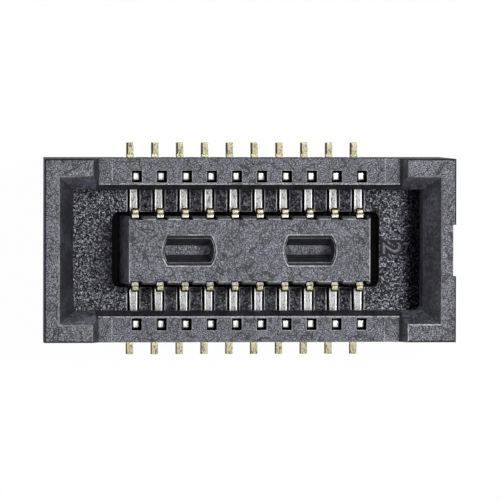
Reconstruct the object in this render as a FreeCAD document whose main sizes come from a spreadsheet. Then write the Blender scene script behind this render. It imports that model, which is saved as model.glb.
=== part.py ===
import FreeCAD, Part
import Sketcher
import os

# Board to board connector, receptacle half: one moulded housing and two rows of
# stamped contacts that are pressed into it from below.
# X runs along the rows, Y across them and Z up from the circuit board.
# The origin is the middle of the footprint, on the surface of the board.

doc = FreeCAD.newDocument("board_connector")

SIZES = (
    ("pitch", 0.4, "contact to contact along a row"),
    ("contacts_per_row", 10, "contacts in each of the two rows"),
    ("end_margin", 1.49, "last contact to the end face of the housing"),
    ("housing_width", 2.92, "over the side walls"),
    ("housing_height", 1.4, "board to the top of the end blocks"),
    ("board_gap", 0.04, "board to the underside of the housing"),
    ("rim_band", 0.2, "upright band at the top of each end face"),
    ("end_draft", 0.1, "how far an end face leans in below its band"),
    ("end_wall", 0.235, "top face of an end wall"),
    ("block_side", 0.284, "top face of a side wall within an end block"),
    ("block_length", 0.772, "end block along X, at its top"),
    ("block_rise", 0.22, "end blocks above the side walls"),
    ("block_step_run", 0.112, "slope from an end block down to the side wall"),
    ("lead_in_depth", 0.36, "height of the sloping lead-in"),
    ("lead_in_end_run", 0.258, "width of the lead-in at each end, seen from above"),
    ("lead_in_side_run", 0.21, "width of the lead-in at each side, seen from above"),
    ("well_depth", 0.76, "end blocks above the floor of the mating well"),
    ("key_chamfer", 0.06, "chamfer that marks one corner of the well"),
    ("island_margin", 0.13, "last contact to the island's end"),
    ("island_width", 1.07, "island across its sides, below its shoulders"),
    ("island_shoulder", 0.035, "chamfer along each side of the island's top"),
    ("island_drop", 0.16, "end blocks above the island"),
    ("island_end_draft", 0.09, "how far an island end leans out to its foot"),
    ("island_side_draft", 0.012, "how far an island side leans out to its foot"),
    ("moat_end", 0.216, "moat between the island's end and its rim"),
    ("moat_side", 0.068, "moat between the island's side and its rim"),
    ("moat_corner", 0.13, "corner radius of the moat's rim"),
    ("moat_depth", 0.34, "floor of the well to the bottom of the moat"),
    ("trough_offset", 0.966, "middle of the island to the middle of a trough"),
    ("trough_straight", 0.69, "straight part of a trough's long edges"),
    ("trough_bow", 0.075, "how far a trough's ends bow out"),
    ("trough_width", 0.475, "trough across its long edges"),
    ("ledge_width", 0.04, "ledge round a trough, just below its edge"),
    ("ledge_depth", 0.03, "island top to the ledge"),
    ("trough_floor", 0.145, "flat at the bottom of a trough, across"),
    ("trough_depth", 0.3, "island top to the bottom of a trough"),
    ("floor_bow", 0.01, "how far the ends of a trough's floor bow out"),
    ("gate_width", 0.82, "relief for the gate in one end face"),
    ("gate_depth", 0.05, "relief for the gate in one end face"),
    ("slot_width", 0.195, "slot in the floor for one contact"),
    ("notch_depth", 0.049, "notch in the island behind a contact"),
    ("hole_length", 0.165, "post hole along X"),
    ("hole_width", 0.192, "post hole along Y"),
    ("post_inset", 0.285, "outer side face to the middle of a post"),
    ("beam_gap", 0.02, "clearance over a contact's beam under the wall"),
    ("tail_gap", 0.04, "clearance over a contact's tail under the wall"),
    ("contact_thickness", 0.13, "metal the contacts are blanked from"),
    ("post_width", 0.15, "post across, between its barbs"),
    ("post_recess", 0.13, "top of the side wall to the end of a post"),
    ("post_chamfer", 0.022, "chamfer round the end of a post"),
    ("barb_drop", 0.38, "top of the side wall to the barbs"),
    ("barb_flat", 0.03, "face of a barb that grips the housing"),
    ("barb_lead", 0.07, "slope above a barb"),
    ("tail_reach", 0.235, "tail beyond the side wall"),
    ("tail_flat", 0.185, "length of tail that lies on the board"),
    ("tail_run", 0.05, "slope of the tail up into the wall, seen from above"),
    ("tail_lift", 0.06, "tail above the board where it enters the wall"),
    ("tail_thickness", 0.09, "tail from its underside to its top"),
    ("tail_width", 0.115, "tail along X, coined narrower"),
    ("beam_proud", 0.04, "top of a beam above the floor of the well"),
    ("beam_depth", 0.2, "beam from top to bottom at the post"),
    ("beam_taper", 0.04, "how much shallower a beam is at the arm"),
    ("beam_end_gap", 0.066, "back of the island's notch to the end of a beam"),
    ("arm_width", 0.125, "spring arm along X, coined narrower"),
    ("arm_depth", 0.085, "spring arm across Y at its root"),
    ("arm_neck", 0.06, "spring arm across Y at its neck"),
    ("neck_drop", 0.16, "top of a tip to the neck of the arm"),
    ("tip_gap", 0.025, "back of the island's notch to a tip"),
    ("tip_length", 0.16, "tip across Y"),
    ("tip_height", 0.06, "contact point to the top of a tip"),
    ("tip_drop", 0.29, "island top to the top of a tip"),
    ("tip_land", 0.055, "flat at the back of a tip"),
    ("tip_crease", 0.012, "top of a tip above the flat at its back"),
    ("tip_chamfer", 0.018, "chamfer down the sides of a tip"),
    ("cut_margin", 0.1, "how far a cut runs past the surface it opens"),
)

sheet = doc.addObject("Spreadsheet::Sheet", "sizes")
for row, (alias, size, meaning) in enumerate(SIZES, start=1):
    sheet.set(f"A{row}", meaning)
    sheet.set(f"B{row}", str(size))
    sheet.setAlias(f"B{row}", alias)
doc.recompute()

# Places that more than one feature uses, written with the names in the sheet.
ROW = "sizes.pitch * (sizes.contacts_per_row - 1)"
HALF_LENGTH = f"({ROW} / 2 + sizes.end_margin)"
HALF_WIDTH = "(sizes.housing_width / 2)"
WELL_X = f"({HALF_LENGTH} - sizes.end_wall - sizes.lead_in_end_run)"
WELL_Y = f"({HALF_WIDTH} - sizes.block_side - sizes.lead_in_side_run)"
WALL_TOP = "(sizes.housing_height - sizes.block_rise)"
FLOOR = "(sizes.housing_height - sizes.well_depth)"
ISLAND_X = f"({ROW} / 2 + sizes.island_margin)"
ISLAND_Y = "(sizes.island_width / 2)"
ISLAND_TOP = "(sizes.housing_height - sizes.island_drop)"
NOTCH_Y = f"({ISLAND_Y} - sizes.notch_depth)"
RIM_X = f"({ISLAND_X} + sizes.moat_end)"
RIM_Y = f"({ISLAND_Y} + sizes.moat_side)"
MOAT_FLOOR = f"({FLOOR} - sizes.moat_depth)"
POST_Y = f"({HALF_WIDTH} - sizes.post_inset)"
HOLE_OUTER = f"({POST_Y} + sizes.hole_width / 2)"
HOLE_INNER = f"({POST_Y} - sizes.hole_width / 2)"
POST_OUTER = f"({POST_Y} + sizes.post_width / 2)"
POST_INNER = f"({POST_Y} - sizes.post_width / 2)"
BEAM_TOP = f"({FLOOR} + sizes.beam_proud)"


def place(expression):
    """Present value of an expression on the sheet, in millimetres."""
    return float(sheet.evalExpression(expression.replace("sizes.", "")))


def origin_plane(body, role):
    """The origin plane of a body that has this role."""
    return [item for item in body.Origin.OriginFeatures if item.Role == role][0]


def sketch_on(body, name, role, level="0"):
    """An empty sketch on an origin plane of the body, lifted off it by level."""
    sketch = body.newObject("Sketcher::SketchObject", name)
    sketch.AttachmentSupport = [(origin_plane(body, role), "")]
    sketch.MapMode = "FlatFace"
    sketch.setExpression(".AttachmentOffset.Base.z", level)
    return sketch


def fix_point(sketch, edge, end, across, up):
    """Holds one end of an edge at the place that two expressions give."""
    for kind, expression in (("DistanceX", across), ("DistanceY", up)):
        held = sketch.addConstraint(
            Sketcher.Constraint(kind, -1, 1, edge, end, place(expression))
        )
        sketch.setExpression(f"Constraints[{held}]", expression)


def closed_outline(sketch, corners):
    """A closed outline through the corners. Each corner is two expressions, and
    four where the edge that leaves it is an arc through the last two."""
    count = len(corners)
    spots = [FreeCAD.Vector(place(c[0]), place(c[1]), 0) for c in corners]
    joints = []
    for number, corner in enumerate(corners):
        start = spots[number]
        finish = spots[(number + 1) % count]
        if len(corner) == 2:
            edge = sketch.addGeometry(Part.LineSegment(start, finish), False)
            joints.append((edge, 1, 2))
            continue
        crown = FreeCAD.Vector(place(corner[2]), place(corner[3]), 0)
        edge = sketch.addGeometry(Part.Arc(start, crown, finish), False)
        forward = sketch.getPoint(edge, 1).distanceToPoint(start) < 1e-6
        joints.append((edge, 1, 2) if forward else (edge, 2, 1))
        point = sketch.addGeometry(Part.Point(crown), True)
        fix_point(sketch, point, 1, corner[2], corner[3])
        sketch.addConstraint(Sketcher.Constraint("PointOnObject", point, 1, edge))
    for number, (edge, first_end, last_end) in enumerate(joints):
        following, its_first_end, _ = joints[(number + 1) % count]
        sketch.addConstraint(
            Sketcher.Constraint("Coincident", edge, last_end, following, its_first_end)
        )
        fix_point(sketch, edge, first_end, corners[number][0], corners[number][1])


def rectangle(sketch, left, right, low, high):
    """A rectangle between two places across and two places up."""
    closed_outline(sketch, ((left, low), (right, low), (right, high), (left, high)))


def extrude(body, kind, name, sketch, length, symmetric=False):
    """A Pad or Pocket of a sketch, to one side or spread evenly over both."""
    feature = body.newObject(f"PartDesign::{kind}", name)
    feature.Profile = sketch
    feature.Type = "Length"
    feature.SideType = "Symmetric" if symmetric else "One side"
    feature.setExpression("Length", length)
    return feature


def loft(body, kind, name, first, last):
    """Straight-sided loft from one sketch to another, added or cut away."""
    feature = body.newObject(f"PartDesign::{kind}", name)
    feature.Profile = first
    feature.Sections = [last]
    feature.Ruled = True


def dress_edges(body, kind, name, wanted, size):
    """A Fillet or Chamfer on the edges whose middle point passes a test."""
    doc.recompute()
    base = body.Tip
    names = []
    for number, edge in enumerate(base.Shape.Edges, start=1):
        middle = edge.valueAt((edge.FirstParameter + edge.LastParameter) / 2)
        if wanted(middle):
            names.append(f"Edge{number}")
    feature = body.newObject(f"PartDesign::{kind}", name)
    feature.Base = (base, names)
    feature.setExpression("Radius" if kind == "Fillet" else "Size", size)


def near(first, second):
    """True where two lengths agree."""
    return abs(first - second) < 1e-5


def make_shell():
    """The housing: side silhouette, lead-in, mating well, moat and island."""
    body = doc.addObject("PartDesign::Body", "housing")
    body.Label = "housing"

    # Side view: drafted ends, high end blocks and lower side walls between them.
    silhouette = sketch_on(body, "silhouette", "XZ_Plane")
    half = [
        (f"{HALF_LENGTH} - sizes.end_draft", "sizes.board_gap"),
        (HALF_LENGTH, "sizes.housing_height - sizes.rim_band"),
        (HALF_LENGTH, "sizes.housing_height"),
        (f"{HALF_LENGTH} - sizes.block_length", "sizes.housing_height"),
        (f"{HALF_LENGTH} - sizes.block_length - sizes.block_step_run", WALL_TOP),
    ]
    other_half = [(f"-({across})", up) for across, up in reversed(half)]
    closed_outline(silhouette, half + other_half)
    extrude(body, "Pad", "moulding", silhouette, "sizes.housing_width", symmetric=True)

    # Lead-in: four slopes with mitred corners that guide the mating half.
    mouth = sketch_on(body, "mouth", "XY_Plane", "sizes.housing_height")
    mouth_x = f"({WELL_X} + sizes.lead_in_end_run)"
    mouth_y = f"({WELL_Y} + sizes.lead_in_side_run)"
    rectangle(mouth, f"-{mouth_x}", mouth_x, f"-{mouth_y}", mouth_y)
    throat = sketch_on(body, "throat", "XY_Plane",
                       "sizes.housing_height - sizes.lead_in_depth")
    rectangle(throat, f"-{WELL_X}", WELL_X, f"-{WELL_Y}", WELL_Y)
    loft(body, "SubtractiveLoft", "lead_in", mouth, throat)

    # Mating well with upright walls, down to the floor.
    well = sketch_on(body, "well", "XY_Plane", "sizes.housing_height")
    rectangle(well, f"-{WELL_X}", WELL_X, f"-{WELL_Y}", WELL_Y)
    extrude(body, "Pocket", "mating_well", well, "sizes.well_depth")

    # Moat round the island, with rounded corners.
    moat = sketch_on(body, "moat", "XY_Plane", FLOOR)
    rectangle(moat, f"-{RIM_X}", RIM_X, f"-{RIM_Y}", RIM_Y)
    extrude(body, "Pocket", "moat_cut", moat, "sizes.moat_depth")
    rim_x = place(RIM_X)
    rim_y = place(RIM_Y)
    dress_edges(
        body, "Fillet", "moat_corners",
        lambda middle: near(abs(middle.x), rim_x) and near(abs(middle.y), rim_y),
        "sizes.moat_corner",
    )

    # Island: drafted sides and ends, up from the bottom of the moat, and a
    # shoulder along each side of its top.
    island_foot = sketch_on(body, "island_foot", "XY_Plane", MOAT_FLOOR)
    foot_x = f"({ISLAND_X} + sizes.island_end_draft)"
    foot_y = f"({ISLAND_Y} + sizes.island_side_draft)"
    rectangle(island_foot, f"-{foot_x}", foot_x, f"-{foot_y}", foot_y)
    island_crown = sketch_on(body, "island_crown", "XY_Plane", ISLAND_TOP)
    rectangle(island_crown, f"-{ISLAND_X}", ISLAND_X, f"-{ISLAND_Y}", ISLAND_Y)
    loft(body, "AdditiveLoft", "island", island_foot, island_crown)
    island_side = place(ISLAND_Y)
    island_level = place(ISLAND_TOP)
    dress_edges(
        body, "Chamfer", "island_shoulders",
        lambda middle: near(middle.z, island_level) and near(abs(middle.y), island_side),
        "sizes.island_shoulder",
    )
    return body


def bowed_outline(sketch, middle, straight, width, bow):
    """Two straight long edges of a trough, joined by ends that bow outwards."""
    left = f"({middle} - {straight} / 2)"
    right = f"({middle} + {straight} / 2)"
    side = f"({width} / 2)"
    closed_outline(sketch, (
        (left, f"-{side}"),
        (right, f"-{side}", f"{right} + {bow}", "0"),
        (right, side),
        (left, side, f"{left} - {bow}", "0"),
    ))


def cut_troughs(body):
    """Two troughs in the island's top: a shallow ledge, then sloping sides."""
    straight = "sizes.trough_straight"
    ledge_level = f"{ISLAND_TOP} - sizes.ledge_depth"
    inner_width = "(sizes.trough_width - 2 * sizes.ledge_width)"
    inner_bow = "(sizes.trough_bow - sizes.ledge_width / 2)"
    for name, middle in (("left", "-sizes.trough_offset"), ("right", "sizes.trough_offset")):
        edge = sketch_on(body, f"{name}_edge", "XY_Plane", ISLAND_TOP)
        bowed_outline(edge, middle, straight, "sizes.trough_width", "sizes.trough_bow")
        extrude(body, "Pocket", f"{name}_ledge", edge, "sizes.ledge_depth")
        brim = sketch_on(body, f"{name}_brim", "XY_Plane", ledge_level)
        bowed_outline(brim, middle, straight, inner_width, inner_bow)
        bottom = sketch_on(body, f"{name}_bottom", "XY_Plane",
                           f"{ISLAND_TOP} - sizes.trough_depth")
        bowed_outline(bottom, middle, straight, "sizes.trough_floor", "sizes.floor_bow")
        loft(body, "SubtractiveLoft", f"{name}_trough", brim, bottom)


def cut_contact_seats(body):
    """Cavities for the contacts: post holes, floor slots, tail exits and the
    notches in the island, cut for the first pair and repeated along X."""
    first = f"(-{ROW} / 2)"
    outside = f"({HALF_WIDTH} + sizes.cut_margin)"
    over = f"({ISLAND_TOP} + sizes.cut_margin)"
    exit_top = "(sizes.tail_lift + sizes.tail_thickness + sizes.tail_gap)"
    slot_top = f"({BEAM_TOP} + sizes.beam_gap)"
    cavity = sketch_on(body, "cavity", "YZ_Plane", first)
    holes = sketch_on(body, "holes", "XY_Plane", "sizes.housing_height")
    hole_left = f"({first} - sizes.hole_length / 2)"
    hole_right = f"({first} + sizes.hole_length / 2)"
    for side in ("", "-"):
        closed_outline(cavity, (
            (f"{side}{outside}", "-sizes.cut_margin"),
            (f"{side}{outside}", exit_top),
            (f"{side}{HOLE_OUTER}", exit_top),
            (f"{side}{HOLE_OUTER}", slot_top),
            (f"{side}{RIM_Y}", slot_top),
            (f"{side}{RIM_Y}", over),
            (f"{side}{NOTCH_Y}", over),
            (f"{side}{NOTCH_Y}", "-sizes.cut_margin"),
        ))
        rectangle(holes, hole_left, hole_right, f"{side}{HOLE_INNER}", f"{side}{HOLE_OUTER}")
    slots = extrude(body, "Pocket", "slots", cavity, "sizes.slot_width", symmetric=True)
    posts = extrude(body, "Pocket", "post_holes", holes, "sizes.housing_height")
    row = body.newObject("PartDesign::LinearPattern", "contact_seats")
    row.Originals = [slots, posts]
    row.Direction = (origin_plane(body, "X_Axis"), [""])
    row.setExpression("Length", ROW)
    row.setExpression("Occurrences", "sizes.contacts_per_row")
    body.Tip = row


def finish_housing(body):
    """Relief for the gate in one end face, and the keyed corner of the well."""
    gate = sketch_on(body, "gate", "XY_Plane", "sizes.housing_height")
    rectangle(gate, f"{HALF_LENGTH} - sizes.gate_depth", f"{HALF_LENGTH} + sizes.cut_margin",
              "-sizes.gate_width / 2", "sizes.gate_width / 2")
    extrude(body, "Pocket", "gate_relief", gate, "sizes.housing_height")
    well_x = place(WELL_X)
    well_y = place(WELL_Y)
    lead_in_foot = place("sizes.housing_height - sizes.lead_in_depth")
    dress_edges(
        body, "Chamfer", "keyed_corner",
        lambda middle: near(middle.x, well_x) and near(middle.y, -well_y)
        and middle.z < lead_in_foot,
        "sizes.key_chamfer",
    )


def pad_post_and_beam(body):
    """Barbed post in the wall and beam in the floor slot, full metal thickness."""
    barb = f"({WALL_TOP} - sizes.barb_drop)"
    barb_top = f"({barb} + sizes.barb_flat)"
    barb_end = f"({barb_top} + sizes.barb_lead)"
    barb_start = f"({barb} - sizes.barb_flat)"
    post_top = f"({WALL_TOP} - sizes.post_recess)"
    beam_foot = f"({BEAM_TOP} - sizes.beam_depth)"
    beam_end = f"({NOTCH_Y} + sizes.beam_end_gap)"
    blank = sketch_on(body, "blank", "YZ_Plane")
    closed_outline(blank, (
        (POST_OUTER, "sizes.tail_lift"),
        (POST_OUTER, barb_start),
        (HOLE_OUTER, barb),
        (HOLE_OUTER, barb_top),
        (POST_OUTER, barb_end),
        (POST_OUTER, post_top),
        (POST_INNER, post_top),
        (POST_INNER, barb_end),
        (HOLE_INNER, barb_top),
        (HOLE_INNER, barb),
        (POST_INNER, barb_start),
        (POST_INNER, BEAM_TOP),
        (beam_end, BEAM_TOP),
        (beam_end, f"{beam_foot} + 2 * sizes.beam_taper"),
        (f"{beam_end} + sizes.beam_taper", f"{beam_foot} + sizes.beam_taper"),
        (f"{POST_INNER} - sizes.beam_depth / 2", beam_foot),
        (POST_INNER, f"{beam_foot} - sizes.beam_depth / 2"),
        (POST_INNER, "sizes.tail_lift"),
    ))
    extrude(body, "Pad", "post_and_beam", blank, "sizes.contact_thickness", symmetric=True)


def pad_tail(body):
    """Solder tail, coined narrower: flat on the board, then up into the wall."""
    end = f"({HALF_WIDTH} + sizes.tail_reach)"
    low_bend = f"({end} - sizes.tail_flat)"
    high_bend = f"({low_bend} - sizes.tail_run)"
    inset = "(sizes.tail_thickness * tan(atan(sizes.tail_lift / sizes.tail_run) / 2))"
    top = "(sizes.tail_lift + sizes.tail_thickness)"
    tail = sketch_on(body, "tail", "YZ_Plane")
    closed_outline(tail, (
        (end, "0"),
        (end, "sizes.tail_thickness"),
        (low_bend, "sizes.tail_thickness"),
        (high_bend, top),
        (POST_Y, top),
        (POST_Y, "sizes.tail_lift"),
        (f"{high_bend} - {inset}", "sizes.tail_lift"),
        (f"{low_bend} - {inset}", "0"),
    ))
    extrude(body, "Pad", "solder_tail", tail, "sizes.tail_width", symmetric=True)


def pad_spring_arm(body):
    """Spring arm, coined narrower, with a rounded tip that leans to the wall and
    a small flat behind it."""
    back = f"({NOTCH_Y} + sizes.beam_end_gap)"
    root_front = f"({back} + sizes.arm_depth)"
    root_level = f"({BEAM_TOP} - sizes.beam_depth / 2)"
    neck_front = f"({back} + sizes.arm_neck)"
    tip_top = f"({ISLAND_TOP} - sizes.tip_drop)"
    neck_level = f"({tip_top} - sizes.neck_drop)"
    tip_level = f"({tip_top} - sizes.tip_height)"
    land_level = f"({tip_top} - sizes.tip_crease)"
    tip_back = f"({NOTCH_Y} + sizes.tip_gap)"
    tip_front = f"({tip_back} + sizes.tip_length)"
    crest_back = f"({tip_back} + sizes.tip_land)"
    arm = sketch_on(body, "arm", "YZ_Plane")
    closed_outline(arm, (
        (back, root_level),
        (root_front, root_level),
        (root_front, BEAM_TOP,
         f"({root_front} + {neck_front}) / 2 - sizes.arm_neck / 8",
         f"({BEAM_TOP} + {neck_level}) / 2"),
        (neck_front, neck_level,
         f"({neck_front} + {tip_front}) / 2 - sizes.tip_length / 15",
         f"({neck_level} + {tip_level}) / 2"),
        (tip_front, tip_level,
         f"{tip_front} - sizes.tip_length / 8", f"{tip_top} - sizes.tip_height / 3"),
        (f"{tip_back} + sizes.tip_length / 2", tip_top),
        (tip_back, f"{tip_top} - sizes.tip_crease * 2 / 3"),
        (tip_back, tip_level),
        (back, neck_level),
    ))
    extrude(body, "Pad", "spring_arm", arm, "sizes.arm_width", symmetric=True)
    side = place("sizes.arm_width / 2")
    low = place(neck_level)
    dress_edges(
        body, "Chamfer", "tip_sides",
        lambda middle: near(abs(middle.x), side) and middle.z > low and middle.y < place(tip_front),
        "sizes.tip_chamfer",
    )

    # Flat behind the tip, a little lower, where the strip was sheared off.
    land = sketch_on(body, "land", "YZ_Plane")
    rectangle(land, f"{tip_back} - sizes.cut_margin", crest_back,
              land_level, f"{tip_top} + sizes.cut_margin")
    extrude(body, "Pocket", "tip_flat", land, "2 * sizes.arm_width", symmetric=True)


def make_contact(label, along, turned):
    """One contact, blanked as a fork and set on edge: a tail on the board, a
    barbed post in the wall, a beam in the floor slot and a spring arm."""
    body = doc.addObject("PartDesign::Body", label)
    body.Label = label
    pad_post_and_beam(body)
    pad_tail(body)
    pad_spring_arm(body)

    # Post end: chamfered all round, so that it finds its hole.
    end_level = place(f"{WALL_TOP} - sizes.post_recess")
    post_side = place(HOLE_INNER)
    dress_edges(
        body, "Chamfer", "post_point",
        lambda middle: near(middle.z, end_level) and middle.y > post_side,
        "sizes.post_chamfer",
    )

    body.setExpression("Placement.Base.x", along)
    if turned:
        body.Placement.Rotation = FreeCAD.Rotation(FreeCAD.Vector(0, 0, 1), 180)
    return body


housing = make_shell()
cut_troughs(housing)
cut_contact_seats(housing)
finish_housing(housing)

pieces = [housing]
for row_name, turned in (("a", False), ("b", True)):
    for number in range(int(place("sizes.contacts_per_row"))):
        along = f"sizes.pitch * {number} - {ROW} / 2"
        pieces.append(make_contact(f"contact_{row_name}{number + 1:02d}", along, turned))

doc.recompute()

for item in doc.Objects:
    if {"Invalid", "Error"} & set(item.State):
        raise RuntimeError(f"{item.Name} did not build: {item.State}")
for piece in pieces:
    if piece.Shape.isNull() or not piece.Shape.isValid():
        raise RuntimeError(f"{piece.Label} has no valid shape")
    if len(piece.Shape.Solids) != 1:
        raise RuntimeError(f"{piece.Label} is {len(piece.Shape.Solids)} solids")

os.makedirs("parts", exist_ok=True)
for piece in pieces:
    piece.Shape.exportStep(os.path.join("parts", f"{piece.Label}.step"))
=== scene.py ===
import math

import bmesh
import bpy
from mathutils import Matrix, Vector


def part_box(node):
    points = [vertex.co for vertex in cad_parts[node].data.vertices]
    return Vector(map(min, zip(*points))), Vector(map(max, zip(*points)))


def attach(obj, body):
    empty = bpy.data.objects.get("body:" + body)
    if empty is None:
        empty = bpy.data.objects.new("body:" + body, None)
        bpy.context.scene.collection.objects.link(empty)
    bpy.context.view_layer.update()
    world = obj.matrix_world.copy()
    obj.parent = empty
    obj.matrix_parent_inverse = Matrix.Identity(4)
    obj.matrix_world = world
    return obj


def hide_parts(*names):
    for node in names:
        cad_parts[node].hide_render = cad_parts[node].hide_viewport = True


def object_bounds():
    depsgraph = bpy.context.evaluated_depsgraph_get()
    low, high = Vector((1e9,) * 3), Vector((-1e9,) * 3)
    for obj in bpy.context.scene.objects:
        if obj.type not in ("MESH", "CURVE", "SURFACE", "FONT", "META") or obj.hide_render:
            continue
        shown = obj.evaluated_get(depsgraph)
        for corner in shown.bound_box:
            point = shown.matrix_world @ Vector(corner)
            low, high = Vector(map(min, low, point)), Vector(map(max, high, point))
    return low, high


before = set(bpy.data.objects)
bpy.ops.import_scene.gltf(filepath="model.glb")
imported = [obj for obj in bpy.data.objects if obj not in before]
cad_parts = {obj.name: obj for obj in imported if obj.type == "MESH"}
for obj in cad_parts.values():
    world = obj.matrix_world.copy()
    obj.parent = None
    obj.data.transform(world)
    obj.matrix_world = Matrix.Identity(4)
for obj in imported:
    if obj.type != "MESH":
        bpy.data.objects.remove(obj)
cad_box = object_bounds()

scene = bpy.context.scene
scene.view_settings.view_transform = "Standard"

# The view from above. The connector was photographed through a long lens that leaned
# a few degrees towards its left end, so the right-hand walls show and the left ones hide.
MM = 0.001
LENS_SIDE = Vector((-0.114, 0.032, 1.0)).normalized()
LENS_DISTANCE = 154.8 * MM
LENS_MM = 702
SENSOR_MM = 36
NEAREST_SEEN = 10 * MM
FARTHEST_SEEN = 1.0
ROLL = -0.001
AIM = Vector((-0.016 * MM, 0.014 * MM, cad_box[1].z))

camera = bpy.data.objects.new("camera", bpy.data.cameras.new("camera"))
scene.collection.objects.link(camera)
camera.data.lens = LENS_MM
camera.data.sensor_width = SENSOR_MM
camera.data.clip_start = NEAREST_SEEN
camera.data.clip_end = FARTHEST_SEEN
image_up = LENS_SIDE.cross(Vector((1, ROLL, 0))).normalized()
image_right = image_up.cross(LENS_SIDE)
turn = Matrix((image_right, image_up, LENS_SIDE)).transposed()
camera.matrix_world = Matrix.Translation(AIM + LENS_SIDE * LENS_DISTANCE) @ turn.to_4x4()
scene.camera = camera


# The housing is one injection moulding of black liquid crystal polymer. The mould was
# ground on the rims, polished on the lead-in slopes and spark eroded on the well's
# floor, so each of these came out with its own grain. Its edges are slightly rounded.
# Some tones are painted light and shade besides: a painted highlight on the rounded
# edges, lighter lead-in faces where they look left or along the long sides, a lighter
# left end on the island, and painted shade in the moat, between the contacts, on the
# outer sides and on the floor towards the right-hand slope.
RIM_TONE = (0.066, 0.066, 0.080)
SLOPE_TONE = (0.016, 0.016, 0.021)
# Painted light: lighter than the slope tone, for the lead-in faces that look left.
PAINTED_LIGHT_FACING_LEFT_TONE = (0.041, 0.041, 0.051)
# Painted light: lighter still, for the lead-in faces along the long sides; the raised number
# takes it too.
PAINTED_LIGHT_SIDES_AND_NUMBER_TONE = (0.050, 0.050, 0.063)
FLOOR_TONE = (0.044, 0.044, 0.053)
# Painted shade: darker than the floor, for the floor between the contacts.
RIB_PAINTED_SHADE_TONE = (0.018, 0.018, 0.023)
# Painted shade: near black, for the moat, the trough's ledges and the lowest faces.
RECESS_PAINTED_SHADE_TONE = (0.008, 0.008, 0.010)
# Painted shade: dark, for the outer sides, which also get little sheen.
SIDE_PAINTED_SHADE_TONE = (0.014, 0.014, 0.017)
# Painted highlight along the rounded edges; the insert lines take this tone too.
EDGE_HIGHLIGHT_AND_LINE_TONE = (0.62, 0.62, 0.66)

# The grain's own values: where its noise gives the dark, the middle and the light tone,
# where it breaks the painted edge highlight up, and how far it shifts the roughness.
TONE_STOPS = (0.38, 0.50, 0.64)
BREAKS_BETWEEN = (0.40, 0.58)
LEAST_EDGE_SHADING = 0.15
ROUGHNESS_SHIFT = 0.12
NOISE_MIDDLE = 0.5
RIDGE_REACH = 0.035
PLASTIC_IOR = 1.5

# Levels over the board and distances from the middle, which tell the faces apart.
WALL_LEVEL = 1.16
LEDGE_LEVELS = (1.20, 1.22)
MOUTH_LEVEL = 0.70
FLOOR_LEVEL = 0.60
BLOCK_FROM = 2.45
ISLAND_LIMIT = 2.0
ISLAND_END = -1.8
ISLAND_HALF = 0.56
MOUTH_HALF = 1.0
RIBS_WITHIN = 1.80
TROUGHS_WITHIN = 1.75
TROUGH_HALF = 0.30
OUTER_BAND = 0.03
# Beyond each of these places the floor's painted shade steps darker.
SHADE_FROM = (2.50, 2.60)
FLAT_FACING = 0.98
STEEP_FACING = 0.5
ALONG_X = (1, 0, 0)
ALONG_Y = (0, 1, 0)
half_length, half_width = (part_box("housing")[1] / MM).xy

# The roundings, the edges that are long enough for them, and how strongly they carry the painted
# edge highlight.
OUTLINE_ROUND = 0.024
TROUGH_ROUND = 0.018
WIDE_ROUND = 0.014
FINE_ROUND = 0.006
BROAD_LENGTH = 0.25
BROAD_AREA = 0.012
SEAT_LENGTH = 0.05
SHARP_FROM = math.radians(24)
SMOOTH_BELOW = math.radians(16)
FLAT_WITHIN = math.radians(0.5)
WELD_WITHIN = 1e-5
NO_EDGE_SHADING = 0.0
RIM_HIGHLIGHT = 0.9
END_BLOCK_SHARE = 0.3
FULL_EDGE_SHADING = 1.0
HIGHLIGHT_BAND = 0.016
EDGE_SHADING_ABOVE = 0.60

# The places of the faint lines where two inserts of the mould met, and a cavity number.
INSERT_LINES = (-2.195, 2.174, 2.870)
INSERT_LINE_WIDTH = 0.012
INSERT_LINE_WEAR = 0.6
NUMBER = "2"
NUMBER_SIZE = 0.42
NUMBER_RISE = 0.024
NUMBER_OUTLINE = 0.045
NUMBER_PLACE = (2.33, 0.02, 0.64)


def copy_in_mm(node):
    """A welded copy of a CAD node's mesh, in millimetres, with flat faces whole."""
    made = bmesh.new()
    made.from_mesh(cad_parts[node].data)
    bmesh.ops.scale(made, vec=Vector((1, 1, 1)) / MM, verts=made.verts)
    bmesh.ops.remove_doubles(made, verts=made.verts, dist=WELD_WITHIN)
    bmesh.ops.dissolve_limit(
        made, angle_limit=FLAT_WITHIN, verts=made.verts, edges=made.edges,
        use_dissolve_boundaries=False,
    )
    return made


def round_edges(made, size, edge_shading, wanted):
    """Rounds the sharp outer edges that pass a test, and marks how strongly the rounding carries
    painted edge shading.
    """
    painted_edge_shading_and_lines = made.faces.layers.float.get("painted_edge_shading_and_lines") or made.faces.layers.float.new("painted_edge_shading_and_lines")
    rounded = made.faces.layers.int.get("rounded") or made.faces.layers.int.new("rounded")
    sharp = [
        edge for edge in made.edges
        if edge.is_convex and edge.calc_face_angle() > SHARP_FROM and wanted(edge)
        and not any(face[rounded] for face in edge.link_faces)
    ]
    result = bmesh.ops.bevel(
        made, geom=sharp, offset=size, offset_type="OFFSET", affect="EDGES", segments=2,
        profile=0.5, material=-1, clamp_overlap=False,
    )
    for face in result["faces"]:
        face[painted_edge_shading_and_lines] = edge_shading
        face[rounded] = 1


def cut_faces(made, faces, place, across):
    """Cuts some of a mesh's faces along the plane through a place, and keeps both sides."""
    parts = {part for face in faces for part in (*face.verts, *face.edges, face)}
    bmesh.ops.bisect_plane(made, geom=list(parts), plane_co=place, plane_no=across)
    made.normal_update()


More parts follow.
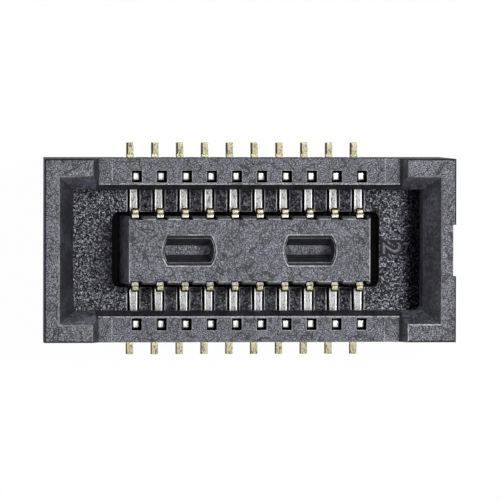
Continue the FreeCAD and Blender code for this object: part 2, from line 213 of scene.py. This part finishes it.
def piece_from(made, name, finishes):
    """Turns a mesh in millimetres into a piece of the scene, with its finishes."""
    bmesh.ops.triangulate(made, faces=[face for face in made.faces if len(face.verts) > 4])
    bmesh.ops.dissolve_degenerate(made, dist=WELD_WITHIN, edges=made.edges)
    bmesh.ops.scale(made, vec=Vector((MM, MM, MM)), verts=made.verts)
    mesh = bpy.data.meshes.new(name)
    made.to_mesh(mesh)
    made.free()
    for finish in finishes:
        mesh.materials.append(finish)
    mesh.shade_smooth()
    mesh.set_sharp_from_angle(angle=SMOOTH_BELOW)
    piece = bpy.data.objects.new(name, mesh)
    scene.collection.objects.link(piece)
    return piece


def add_node(tree, kind, settings=None, values=None):
    """A shader node, with its settings and the values of its inputs."""
    node = tree.nodes.new(kind)
    for name, value in (settings or {}).items():
        setattr(node, name, value)
    for name, value in (values or {}).items():
        node.inputs[name].default_value = value
    return node


def join(tree, *pairs):
    """Links outputs to inputs, each pair given as (node, output, node, input)."""
    for source, output, target, entry in pairs:
        tree.links.new(source.outputs[output], target.inputs[entry])


def new_group(name, inputs, outputs):
    """A node group for one effect. Inputs are (name, value), outputs are names."""
    group = bpy.data.node_groups.new(name, "ShaderNodeTree")
    for label, value in inputs:
        socket = group.interface.new_socket(label, in_out="INPUT", socket_type="NodeSocketFloat")
        socket.default_value = value
    for label in outputs:
        group.interface.new_socket(label, in_out="OUTPUT", socket_type="NodeSocketFloat")
    return group, group.nodes.new("NodeGroupInput"), group.nodes.new("NodeGroupOutput")


def mould_grain():
    """Grain left by the mould: fine flecks with worm-like ridges, or cracks below zero."""
    group, given, out = new_group(
        "mould grain",
        (("Fineness", 34000.0), ("Worm fineness", 14000.0), ("Worms", 0.2), ("Flow", 0.3)),
        ("Tone", "Height"),
    )
    place = add_node(group, "ShaderNodeTexCoord")
    fleck = add_node(group, "ShaderNodeTexNoise", None,
                     {"Detail": 2.0, "Roughness": 0.8, "Distortion": 0.4})
    worm = add_node(group, "ShaderNodeTexNoise", None,
                    {"Detail": 1.0, "Roughness": 0.5, "Distortion": 0.6})
    flow = add_node(group, "ShaderNodeTexNoise", None,
                    {"Scale": 1800.0, "Detail": 5.0, "Distortion": 1.5})
    join(group,
         (place, "Object", fleck, "Vector"), (place, "Object", worm, "Vector"),
         (place, "Object", flow, "Vector"), (given, "Fineness", fleck, "Scale"),
         (given, "Worm fineness", worm, "Scale"))

    # A ridge or crack runs where the worm noise passes through its middle value.
    off = add_node(group, "ShaderNodeMath", {"operation": "SUBTRACT"}, {1: NOISE_MIDDLE})
    away = add_node(group, "ShaderNodeMath", {"operation": "ABSOLUTE"})
    line = add_node(group, "ShaderNodeMapRange", {"interpolation_type": "SMOOTHSTEP"},
                    {"From Min": 0.0, "From Max": RIDGE_REACH, "To Min": 1.0, "To Max": 0.0})
    push = add_node(group, "ShaderNodeMath", {"operation": "MULTIPLY"})
    relief = add_node(group, "ShaderNodeMath", {"operation": "ADD"})
    join(group,
         (worm, "Fac", off, 0), (off, 0, away, 0), (away, 0, line, "Value"),
         (line, "Result", push, 0), (given, "Worms", push, 1),
         (fleck, "Fac", relief, 0), (push, 0, relief, 1))

    # Flow marks are slow changes of tone where the plastic ran and met.
    toned = add_node(group, "ShaderNodeMix", {"data_type": "FLOAT"})
    join(group,
         (given, "Flow", toned, "Factor"), (relief, 0, toned, "A"),
         (flow, "Fac", toned, "B"), (toned, "Result", out, "Tone"),
         (relief, 0, out, "Height"))
    return group


def make_painted_corner_shade():
    """Painted shade: fades the floor's colour towards the foot of the right-hand slope."""
    group, given, out = new_group(
        "painted corner shade",
        (("Starts", 2.40 * MM), ("Ends", 2.72 * MM), ("Left over", 0.14)),
        ("Light",),
    )
    place = add_node(group, "ShaderNodeTexCoord")
    along = add_node(group, "ShaderNodeSeparateXYZ")
    light = add_node(group, "ShaderNodeMapRange", {"interpolation_type": "SMOOTHSTEP"},
                     {"To Min": 1.0})
    join(group,
         (place, "Object", along, "Vector"), (along, "X", light, "Value"),
         (given, "Starts", light, "From Min"), (given, "Ends", light, "From Max"),
         (given, "Left over", light, "To Max"), (light, "Result", out, "Light"))
    return group


GRAIN = mould_grain()
PAINTED_CORNER_SHADE = make_painted_corner_shade()


def paint_corner_shade(finish):
    """Puts the painted corner shade over the colour of a finish."""
    tree = finish.node_tree
    shader = tree.nodes["Principled BSDF"]
    colour = shader.inputs["Base Color"].links[0].from_node
    corner = add_node(tree, "ShaderNodeGroup", {"node_tree": PAINTED_CORNER_SHADE})
    faded = add_node(tree, "ShaderNodeMix", {"data_type": "RGBA"}, {"A": (0, 0, 0, 1)})
    join(tree,
         (corner, "Light", faded, "Factor"), (colour, "Result", faded, "B"),
         (faded, "Result", shader, "Base Color"))
    return finish


def moulded_finish(name, tone, grain_values, lift, depth, roughness, gloss_level):
    """Black plastic with one of the mould's grains, lighter along the insert lines, with a
    painted highlight on the rounded edges.
    """
    finish = bpy.data.materials.new(name)
    finish.use_nodes = True
    tree = finish.node_tree
    shader = tree.nodes["Principled BSDF"]
    shader.inputs["IOR"].default_value = PLASTIC_IOR
    shader.inputs["Specular IOR Level"].default_value = gloss_level
    grain = add_node(tree, "ShaderNodeGroup", {"node_tree": GRAIN}, grain_values)
    shade = add_node(tree, "ShaderNodeValToRGB")
    dark_stop, light_stop = shade.color_ramp.elements
    dark_stop.position, light_stop.position = TONE_STOPS[0], TONE_STOPS[2]
    dark_stop.color = (*(channel / lift for channel in tone), 1)
    light_stop.color = (*(channel * lift for channel in tone), 1)
    middle_stop = shade.color_ramp.elements.new(TONE_STOPS[1])
    middle_stop.color = (*tone, 1)
    painted_edge_shading_and_lines = add_node(tree, "ShaderNodeAttribute", {"attribute_name": "painted_edge_shading_and_lines"})
    broken = add_node(tree, "ShaderNodeMapRange", None,
                      {"From Min": BREAKS_BETWEEN[0], "From Max": BREAKS_BETWEEN[1],
                       "To Min": LEAST_EDGE_SHADING, "To Max": FULL_EDGE_SHADING})
    edge = add_node(tree, "ShaderNodeMath", {"operation": "MULTIPLY"})
    colour = add_node(tree, "ShaderNodeMix", {"data_type": "RGBA"}, {"B": (*EDGE_HIGHLIGHT_AND_LINE_TONE, 1)})
    gloss = add_node(tree, "ShaderNodeMapRange", None,
                     {"To Min": roughness + ROUGHNESS_SHIFT,
                      "To Max": roughness - ROUGHNESS_SHIFT})
    bump = add_node(tree, "ShaderNodeBump", None, {"Distance": depth, "Strength": 1.0})
    join(tree,
         (grain, "Tone", shade, "Fac"), (grain, "Tone", broken, "Value"),
         (painted_edge_shading_and_lines, "Fac", edge, 0), (broken, "Result", edge, 1),
         (edge, 0, colour, "Factor"), (shade, "Color", colour, "A"),
         (colour, "Result", shader, "Base Color"), (grain, "Tone", gloss, "Value"),
         (gloss, "Result", shader, "Roughness"), (grain, "Height", bump, "Height"),
         (bump, "Normal", shader, "Normal"))
    return finish


def eroded_finish(name, gloss_level):
    """Floor of the well with the spark erosion's grain and the painted corner shade; its copies
    nearer the right-hand slope get a lower gloss level as painted shade.
    """
    return paint_corner_shade(moulded_finish(
        name, FLOOR_TONE,
        {"Fineness": 28000, "Worm fineness": 10000, "Worms": -0.26, "Flow": 0.03},
        lift=13.0, depth=4.6e-5, roughness=0.24, gloss_level=gloss_level))


GROUND_AND_PAINTED_LIGHT, POLISHED, PAINTED_LIGHT_FACING_LEFT, PAINTED_LIGHT_SIDES_AND_NUMBER, ERODED, PAINTED_HALF_SHADE_FLOOR, PAINTED_DEEP_SHADE_FLOOR, RIBS, DEEP, SIDE = range(10)
mould_finishes = (
    # Ground rims; the island's left end also takes it as painted light.
    moulded_finish(
        "ground moulding", RIM_TONE,
        {"Fineness": 56000, "Worm fineness": 4500, "Worms": -0.15, "Flow": 0.12},
        lift=5.6, depth=1.2e-5, roughness=0.36, gloss_level=0.4),
    moulded_finish(
        "polished moulding", SLOPE_TONE,
        {"Fineness": 16000, "Worm fineness": 6000, "Worms": 0.05, "Flow": 0.5},
        lift=2.4, depth=3e-6, roughness=0.38, gloss_level=0.4),
    # Painted light on the lead-in faces that look left.
    moulded_finish(
        "lead-in with painted light where it faces left", PAINTED_LIGHT_FACING_LEFT_TONE,
        {"Fineness": 20000, "Worm fineness": 7000, "Worms": 0.05, "Flow": 0.4},
        lift=2.4, depth=4e-6, roughness=0.40, gloss_level=0.4),
    # Painted light on the lead-in faces along the long sides, also used on the number.
    moulded_finish(
        "lead-in long sides with painted light, and the number", PAINTED_LIGHT_SIDES_AND_NUMBER_TONE,
        {"Fineness": 20000, "Worm fineness": 7000, "Worms": 0.05, "Flow": 0.4},
        lift=3.0, depth=5e-6, roughness=0.40, gloss_level=0.5),
    # The floor, and two less glossy copies of it as painted shade towards the right-hand slope.
    eroded_finish("spark eroded moulding", 0.5),
    eroded_finish("spark eroded moulding in painted half shade", 0.25),
    eroded_finish("spark eroded moulding in painted deep shade", 0.06),
    # Painted shade between the contacts.
    moulded_finish(
        "moulding between the contacts, painted shade", RIB_PAINTED_SHADE_TONE,
        {"Fineness": 19000, "Worm fineness": 9000, "Worms": -0.26, "Flow": 0.03},
        lift=9.0, depth=3.4e-5, roughness=0.28, gloss_level=0.28),
    # Painted shade in the moat and other recesses.
    moulded_finish(
        "moulding in the moat, painted shade", RECESS_PAINTED_SHADE_TONE,
        {"Fineness": 30000, "Worm fineness": 15000, "Worms": 0.05, "Flow": 0.2},
        lift=1.6, depth=2e-6, roughness=0.6, gloss_level=0.2),
    # Painted shade on the outer sides.
    moulded_finish(
        "moulding on the sides, painted shade", SIDE_PAINTED_SHADE_TONE,
        {"Fineness": 20000, "Worm fineness": 9000, "Worms": 0.05, "Flow": 0.3},
        lift=2.0, depth=6e-6, roughness=0.6, gloss_level=0.1),
)


def is_flat_top(face):
    """True on a face that looks straight up."""
    return face.normal.z > FLAT_FACING


def middle_of(edge):
    """The point halfway along an edge."""
    return (edge.verts[0].co + edge.verts[1].co) / 2


def reach_to_side(point):
    """How far a point lies inside the nearest outer side of the moulding."""
    return min(half_length - abs(point.x), half_width - abs(point.y))


def is_outline(edge):
    """True on the outer edge of a flat top, all round the moulding."""
    middle = middle_of(edge)
    return (any(is_flat_top(face) for face in edge.link_faces) and middle.z > WALL_LEVEL
            and reach_to_side(middle) < OUTER_BAND)


def is_trough_mouth(edge):
    """True on the edges where the island's top drops into one of its two troughs."""
    middle = middle_of(edge)
    return (middle.z > LEDGE_LEVELS[1] and abs(middle.x) < TROUGHS_WITHIN
            and abs(middle.y) < TROUGH_HALF)


def is_broad(edge):
    """True on the rims, steps, lead-in and island, and not in the contact seats."""
    smallest = min(face.calc_area() for face in edge.link_faces)
    return edge.calc_length() > BROAD_LENGTH and smallest > BROAD_AREA


def is_rim(edge):
    """True on a broad edge of a flat top."""
    return any(is_flat_top(face) for face in edge.link_faces) and is_broad(edge)


def is_seat(edge):
    """True on the other edges, such as the contact seats', that aren't very short."""
    return edge.calc_length() > SEAT_LENGTH


def rim_tops(made):
    """The flat faces on top of the walls and end blocks, outside the middle of the mouth."""
    tops = []
    for face in made.faces:
        middle = face.calc_center_median()
        if is_flat_top(face) and middle.z > WALL_LEVEL and abs(middle.y) > MOUTH_HALF:
            tops.append(face)
    return tops


def wall_tops(made):
    """The flat faces on top of the two side walls, between the end blocks."""
    return [face for face in rim_tops(made)
            if abs(face.calc_center_median().x) < BLOCK_FROM]


def right_floor(made):
    """The flat faces of the well's floor to the right of the island."""
    floor = []
    for face in made.faces:
        middle = face.calc_center_median()
        if (is_flat_top(face) and middle.x > ISLAND_LIMIT
                and FLOOR_LEVEL < middle.z < MOUTH_LEVEL):
            floor.append(face)
    return floor


def mark_insert_line(made, along):
    """Marks a thin straight line across the flat tops, a little lighter than they are."""
    painted_edge_shading_and_lines = made.faces.layers.float["painted_edge_shading_and_lines"]
    for line_edge in (along - INSERT_LINE_WIDTH / 2, along + INSERT_LINE_WIDTH / 2):
        cut_faces(made, rim_tops(made), (line_edge, 0, 0), ALONG_X)
    for face in rim_tops(made):
        if abs(face.calc_center_median().x - along) < INSERT_LINE_WIDTH / 2:
            face[painted_edge_shading_and_lines] = INSERT_LINE_WEAR


def mark_wall_edges(made):
    """Marks a thin band of painted highlight along the inner edge of each side wall's top."""
    painted_edge_shading_and_lines = made.faces.layers.float["painted_edge_shading_and_lines"]
    inner = min(abs(corner.co.y) for face in wall_tops(made) for corner in face.verts)
    for place in (-inner - HIGHLIGHT_BAND, inner + HIGHLIGHT_BAND):
        cut_faces(made, wall_tops(made), (0, place, 0), ALONG_Y)
    for face in wall_tops(made):
        if abs(face.calc_center_median().y) < inner + HIGHLIGHT_BAND:
            face[painted_edge_shading_and_lines] = FULL_EDGE_SHADING


def finish_of(face):
    """The mould finish of a face of the housing, from where it lies and faces; some finishes
    carry painted light and painted shade.
    """
    middle = face.calc_center_median()
    in_trough = abs(middle.x) < TROUGHS_WITHIN and abs(middle.y) < TROUGH_HALF
    if is_flat_top(face):
        if LEDGE_LEVELS[0] < middle.z < LEDGE_LEVELS[1]:
            return DEEP if in_trough else POLISHED
        if middle.z > WALL_LEVEL or (in_trough and middle.z > FLOOR_LEVEL):
            return GROUND_AND_PAINTED_LIGHT
        if middle.z > FLOOR_LEVEL:
            # Painted shade on the floor between the contacts.
            if abs(middle.x) < RIBS_WITHIN:
                return RIBS
            # Painted shade: towards the right-hand slope the floor takes its less glossy copies.
            return (ERODED, PAINTED_HALF_SHADE_FLOOR, PAINTED_DEEP_SHADE_FLOOR)[sum(middle.x > start for start in SHADE_FROM)]
        return DEEP
    if reach_to_side(middle) < OUTER_BAND:
        return SIDE
    above_floor = middle.z > FLOOR_LEVEL
    lead_in = above_floor and abs(middle.x) > BLOCK_FROM
    faces_left = face.normal.x < -STEEP_FACING
    # Painted light: the island's left end face takes the lighter rim moulding.
    if above_floor and faces_left and (-BLOCK_FROM < middle.x < ISLAND_END
                                       and abs(middle.y) < ISLAND_HALF):
        return GROUND_AND_PAINTED_LIGHT
    # Painted light: lead-in faces along the long sides and those that look left take lighter
    # tones.
    if lead_in and abs(face.normal.y) > STEEP_FACING:
        return PAINTED_LIGHT_SIDES_AND_NUMBER
    return PAINTED_LIGHT_FACING_LEFT if lead_in and faces_left else POLISHED


def add_number(made, rise, spread, finish):
    """Adds a raised cavity number to the floor, read from the right-hand end."""
    label = bpy.data.curves.new("cavity_number", "FONT")
    label.body = NUMBER
    label.align_x = label.align_y = "CENTER"
    label.size = NUMBER_SIZE
    label.extrude = rise
    label.offset = spread
    stand_in = bpy.data.objects.new("cavity_number", label)
    scene.collection.objects.link(stand_in)
    shape = bpy.data.meshes.new_from_object(stand_in)
    bpy.data.objects.remove(stand_in)
    shape.transform(Matrix.Translation(NUMBER_PLACE) @ Matrix.Rotation(-math.pi / 2, 4, "Z"))
    before = set(made.faces)
    made.from_mesh(shape)
    for face in set(made.faces) - before:
        face.material_index = finish
    bpy.data.meshes.remove(shape)


moulding = copy_in_mm("housing")
# Each rounding also sets how strongly its faces carry the painted edge highlight.
round_edges(moulding, OUTLINE_ROUND, NO_EDGE_SHADING, is_outline)
round_edges(moulding, TROUGH_ROUND, FULL_EDGE_SHADING, is_trough_mouth)
round_edges(moulding, WIDE_ROUND, RIM_HIGHLIGHT, is_rim)
round_edges(moulding, FINE_ROUND, NO_EDGE_SHADING, is_broad)
round_edges(moulding, FINE_ROUND, FULL_EDGE_SHADING, is_seat)
for along in INSERT_LINES:
    mark_insert_line(moulding, along)
mark_wall_edges(moulding)
for along in (-BLOCK_FROM, BLOCK_FROM):
    cut_faces(moulding, moulding.faces, (along, 0, 0), ALONG_X)
# The floor is cut where its painted shade steps darker towards the right-hand slope.
for along in SHADE_FROM:
    cut_faces(moulding, right_floor(moulding), (along, 0, 0), ALONG_X)
edge_shading_layer = moulding.faces.layers.float["painted_edge_shading_and_lines"]
for face in moulding.faces:
    face.material_index = finish_of(face)
    middle = face.calc_center_median()
    # The painted edge highlight is left off the sides and the low faces, and weakened on most of
    # the end blocks.
    if face.material_index == SIDE or middle.z < EDGE_SHADING_ABOVE:
        face[edge_shading_layer] = NO_EDGE_SHADING
    elif middle.x < -BLOCK_FROM or (middle.x > BLOCK_FROM and middle.y > -MOUTH_HALF):
        face[edge_shading_layer] *= END_BLOCK_SHARE
# A wider, lower copy in the moat's painted-shade tone gives the number a dark outline.
add_number(moulding, NUMBER_RISE / 2, NUMBER_OUTLINE, DEEP)
# The raised number takes the lighter long-side tone.
add_number(moulding, NUMBER_RISE, 0.0, PAINTED_LIGHT_SIDES_AND_NUMBER)
housing = piece_from(moulding, "moulded_housing", mould_finishes)
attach(housing, "root")
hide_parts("housing")


# The contacts are blanked from copper alloy strip and set on edge. They are plated
# with nickel all over, and with a thin flash of gold on the tip and the solder tail.
METAL_ROUND = 0.008
METAL_LENGTH = 0.02
# Widths of the bands along a strip's edges that carry the painted highlight on nickel and the
# painted shade on gold.
PAINTED_EDGE_BAND_WIDTH = 0.022
PAINTED_TAIL_EDGE_WIDTH = 0.034
NICKEL_TONE = (0.52, 0.52, 0.52)
# Painted highlight along the nickel's edges.
NICKEL_PAINTED_HIGHLIGHT = (0.95, 0.95, 0.94)
# Painted reflection: lighter nickel on the post and the tip's back.
PAINTED_REFLECTION_TONE = (0.92, 0.92, 0.92)
GOLD_TONE = (0.68, 0.62, 0.40)
# Painted shade along the gold's left edge.
GOLD_PAINTED_SHADE = (0.05, 0.035, 0.02)
MARK_DEPTH = 2e-6
MARK_STRETCH = (1.0, 0.55, 1.0)
SPECK_MIDDLE = 0.46
SPECK_REACH = (0.01, 0.06)
DULLER_BY = 0.15
SHINIER_BY = 0.08

# Levels over the board and distances from the middle, which tell a contact's parts apart.
TAIL_FROM = 1.45
TIP_WITHIN = 0.72
TIP_ABOVE = 0.80
TIP_FLAT_WITHIN = 0.548
POST_FROM = 1.05
POST_ABOVE = 0.98
JOIN_SPAN = (1.24, 1.42)
JOIN_BELOW = 0.07


def stamping_marks():
    """Marks on the strip: fine scratches, and darker specks where the plating is thin."""
    group, given, out = new_group(
        "stamping marks", (("Fineness", 22000.0), ("Specks", 0.5)), ("Tone", "Height"))
    place = add_node(group, "ShaderNodeTexCoord")
    stretch = add_node(group, "ShaderNodeMapping", None, {"Scale": MARK_STRETCH})
    scratch = add_node(group, "ShaderNodeTexNoise", None, {"Detail": 3.0, "Roughness": 0.75})
    speck = add_node(group, "ShaderNodeTexNoise", None, {"Detail": 1.0, "Distortion": 0.8})
    off = add_node(group, "ShaderNodeMath", {"operation": "SUBTRACT"}, {1: SPECK_MIDDLE})
    away = add_node(group, "ShaderNodeMath", {"operation": "ABSOLUTE"})
    spots = add_node(group, "ShaderNodeMapRange", None,
                     {"From Min": SPECK_REACH[0], "From Max": SPECK_REACH[1],
                      "To Min": 0.0, "To Max": 1.0})
    blend = add_node(group, "ShaderNodeMix", {"data_type": "FLOAT"})
    join(group,
         (place, "Object", stretch, "Vector"), (stretch, "Vector", scratch, "Vector"),
         (stretch, "Vector", speck, "Vector"), (given, "Fineness", scratch, "Scale"),
         (given, "Fineness", speck, "Scale"), (speck, "Fac", off, 0), (off, 0, away, 0),
         (away, 0, spots, "Value"),
         (given, "Specks", blend, "Factor"), (scratch, "Fac", blend, "A"),
         (spots, "Result", blend, "B"), (blend, "Result", out, "Tone"),
         (scratch, "Fac", out, "Height"))
    return group


MARKS = stamping_marks()


def plated_finish(name, tone, edge_tone, dull, specks, roughness):
    """Plated metal with stamping marks, which are duller, and its own edge tone: a painted
    highlight on nickel and painted shade on gold.
    """
    finish = bpy.data.materials.new(name)
    finish.use_nodes = True
    tree = finish.node_tree
    shader = tree.nodes["Principled BSDF"]
    shader.inputs["Metallic"].default_value = 1.0
    marks = add_node(tree, "ShaderNodeGroup", {"node_tree": MARKS}, {"Specks": specks})
    colour = add_node(tree, "ShaderNodeMix", {"data_type": "RGBA"},
                      {"A": (*(channel * dull for channel in tone), 1), "B": (*tone, 1)})
    painted_edge_shading_and_lines = add_node(tree, "ShaderNodeAttribute", {"attribute_name": "painted_edge_shading_and_lines"})
    edged = add_node(tree, "ShaderNodeMix", {"data_type": "RGBA"}, {"B": (*edge_tone, 1)})
    gloss = add_node(tree, "ShaderNodeMapRange", None,
                     {"To Min": roughness + DULLER_BY, "To Max": roughness - SHINIER_BY})
    bump = add_node(tree, "ShaderNodeBump", None, {"Distance": MARK_DEPTH, "Strength": 1.0})
    join(tree,
         (marks, "Tone", colour, "Factor"), (colour, "Result", edged, "A"),
         (painted_edge_shading_and_lines, "Fac", edged, "Factor"), (edged, "Result", shader, "Base Color"),
         (marks, "Tone", gloss, "Value"), (gloss, "Result", shader, "Roughness"),
         (marks, "Height", bump, "Height"), (bump, "Normal", shader, "Normal"))
    return finish


NICKEL, PAINTED_REFLECTION_NICKEL, GOLD = range(3)
platings = (
    plated_finish("nickel plate", NICKEL_TONE, NICKEL_PAINTED_HIGHLIGHT,
                  dull=0.08, specks=0.8, roughness=0.3),
    # Nickel lightened as painted reflection, on the post and the tip's back.
    plated_finish("nickel plate with painted reflection", PAINTED_REFLECTION_TONE, NICKEL_PAINTED_HIGHLIGHT,
                  dull=0.35, specks=0.5, roughness=0.35),
    plated_finish("gold flash", GOLD_TONE, GOLD_PAINTED_SHADE,
                  dull=0.10, specks=0.75, roughness=0.3),
)


def plating_of(face):
    """The plating of a face of a contact: gold on the tail and the tip's front, and nickel
    lightened as painted reflection on the post and the tip's back.
    """
    middle = face.calc_center_median()
    out = abs(middle.y)
    if out > TAIL_FROM or (TIP_FLAT_WITHIN < out < TIP_WITHIN and middle.z > TIP_ABOVE):
        return GOLD
    on_post = out > POST_FROM and middle.z > POST_ABOVE
    return PAINTED_REFLECTION_NICKEL if on_post or (out < TIP_WITHIN and middle.z > TIP_ABOVE) else NICKEL


def is_open_metal(edge):
    """True on the stamping's edges, but not under the tail where it leaves the post."""
    middle = middle_of(edge)
    under_tail = JOIN_SPAN[0] < abs(middle.y) < JOIN_SPAN[1] and middle.z < JOIN_BELOW
    return edge.calc_length() > METAL_LENGTH and not under_tail


contact_nodes = sorted(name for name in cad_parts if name.startswith("contact_"))
for node in contact_nodes:
    blank = copy_in_mm(node)
    round_edges(blank, METAL_ROUND, NO_EDGE_SHADING, is_open_metal)
    lowest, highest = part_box(node)
    side = math.copysign(1, lowest.y + highest.y)
    # Cuts for the painted edge bands, and where the tip's gold front meets its
    # painted-reflection back.
    left_band = lowest.x / MM + PAINTED_EDGE_BAND_WIDTH
    right_band = highest.x / MM - PAINTED_EDGE_BAND_WIDTH
    painted_edge_to = lowest.x / MM + PAINTED_TAIL_EDGE_WIDTH
    cuts = [((along, 0, 0), ALONG_X) for along in (left_band, right_band, painted_edge_to)]
    cuts.append(((0, side * TIP_FLAT_WITHIN, 0), ALONG_Y))
    for place, across in cuts:
        tops = [face for face in blank.faces if is_flat_top(face)]
        cut_faces(blank, tops, place, across)
    edge_shading_layer = blank.faces.layers.float["painted_edge_shading_and_lines"]
    for face in blank.faces:
        face.material_index = plating_of(face)
        middle = face.calc_center_median()
        # Gold carries painted shade along its left edge, wider on the upper tails; nickel
        # carries a painted highlight along both edges of its flat tops.
        if face.material_index == GOLD:
            wide_painted_edge = side > 0 and abs(middle.y) > TAIL_FROM
            face[edge_shading_layer] = float(middle.x < (painted_edge_to if wide_painted_edge else left_band))
        else:
            beside = not left_band < middle.x < right_band
            face[edge_shading_layer] = float(beside and is_flat_top(face))
    contact = piece_from(blank, f"{node}_plated", platings)
    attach(contact, "root")
    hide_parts(node)


# The ground is a plain white sheet that keeps the connector's own soft shadow, with a
# dark sheet under the housing as painted shadow where no light reaches. The sky is even
# and white. A broad lamp stands at the right, a weaker one at the left and a low one beyond each
# long side.
GROUND_REACH = 60 * MM
PAINTED_SHADOW_HALF_LENGTH = 3.12 * MM
PAINTED_SHADOW_HALF_WIDTH = 1.40 * MM
PAINTED_SHADOW_LEVEL = 0.002 * MM
WHITE = (1, 1, 1, 1)
PAPER_TONE = (0.9, 0.9, 0.9, 1)
PAINTED_SHADOW_TONE = (0.1, 0.1, 0.1, 1)
PAPER_WHITE_SHARE = 0.98
SKY_LIGHT = 0.20

# Each lamp's place and width in millimetres, and how bright it makes a white sheet that
# faces it in the middle of the scene.
LAMPS = (
    ("right lamp", (24, 8, 38), 16, 0.85),
    ("left lamp", (-34, 4, 24), 14, 0.20),
    ("upper lamp", (-4, 38, 14), 14, 0.11),
    ("lower lamp", (-4, -38, 14), 14, 0.22),
)


def white_where_seen(tree, lit, white):
    """Mixes two shaders: lit for light that falls on things, white where it is seen."""
    path = add_node(tree, "ShaderNodeLightPath")
    seen = add_node(tree, "ShaderNodeMath", {"operation": "MAXIMUM"})
    mirrored = add_node(tree, "ShaderNodeMath", {"operation": "MAXIMUM"})
    mix = add_node(tree, "ShaderNodeMixShader")
    join(tree,
         (path, "Is Glossy Ray", mirrored, 0), (path, "Is Transmission Ray", mirrored, 1),
         (mirrored, 0, seen, 0), (path, "Is Camera Ray", seen, 1), (seen, 0, mix, "Fac"),
         (lit, 0, mix, 1), (white, 0, mix, 2))
    return mix


def flat_sheet(name, reach_x, reach_y, level, finish):
    """A flat rectangle on the ground that isn't part of the connector."""
    made = bmesh.new()
    bmesh.ops.create_grid(made, x_segments=1, y_segments=1, size=1)
    bmesh.ops.scale(made, vec=Vector((reach_x, reach_y, 1)), verts=made.verts)
    bmesh.ops.translate(made, vec=Vector((0, 0, level)), verts=made.verts)
    mesh = bpy.data.meshes.new(name)
    made.to_mesh(mesh)
    made.free()
    mesh.materials.append(finish)
    sheet = bpy.data.objects.new(name, mesh)
    scene.collection.objects.link(sheet)


world = bpy.data.worlds.new("white sky")
scene.world = world
world.use_nodes = True
sky = world.node_tree
sky.nodes.clear()
sky_light = add_node(sky, "ShaderNodeBackground", None, {"Color": WHITE, "Strength": SKY_LIGHT})
sky_white = add_node(sky, "ShaderNodeBackground", None, {"Color": WHITE, "Strength": 1.0})
sky_out = add_node(sky, "ShaderNodeOutputWorld")
join(sky, (white_where_seen(sky, sky_light, sky_white), 0, sky_out, "Surface"))

paper = bpy.data.materials.new("white sheet")
paper.use_nodes = True
paper_tree = paper.node_tree
paper_tree.nodes.clear()
paper_lit = add_node(paper_tree, "ShaderNodeBsdfDiffuse", None, {"Color": PAPER_TONE})
paper_glow = add_node(paper_tree, "ShaderNodeEmission", None, {"Color": WHITE, "Strength": 1.0})
paper_seen = add_node(paper_tree, "ShaderNodeMixShader", None, {"Fac": PAPER_WHITE_SHARE})
paper_out = add_node(paper_tree, "ShaderNodeOutputMaterial")
join(paper_tree, (paper_lit, 0, paper_seen, 1), (paper_glow, 0, paper_seen, 2),
     (white_where_seen(paper_tree, paper_lit, paper_seen), 0, paper_out, "Surface"))

# Painted shadow: a dark sheet just above the ground, under the housing.
painted_shadow = bpy.data.materials.new("painted shadow sheet")
painted_shadow.use_nodes = True
painted_shadow.node_tree.nodes["Principled BSDF"].inputs["Base Color"].default_value = PAINTED_SHADOW_TONE

flat_sheet("ground_sheet", GROUND_REACH, GROUND_REACH, 0, paper)
flat_sheet("painted_shadow_patch", PAINTED_SHADOW_HALF_LENGTH, PAINTED_SHADOW_HALF_WIDTH, PAINTED_SHADOW_LEVEL, painted_shadow)

for name, spot, width, level in LAMPS:
    spot = Vector(spot) * MM
    lamp = bpy.data.objects.new(name, bpy.data.lights.new(name, "AREA"))
    scene.collection.objects.link(lamp)
    lamp.data.size = width * MM
    lamp.data.energy = level * math.pi ** 2 * spot.length_squared
    lamp.location = spot
    lamp.rotation_euler = spot.to_track_quat("Z", "Y").to_euler()
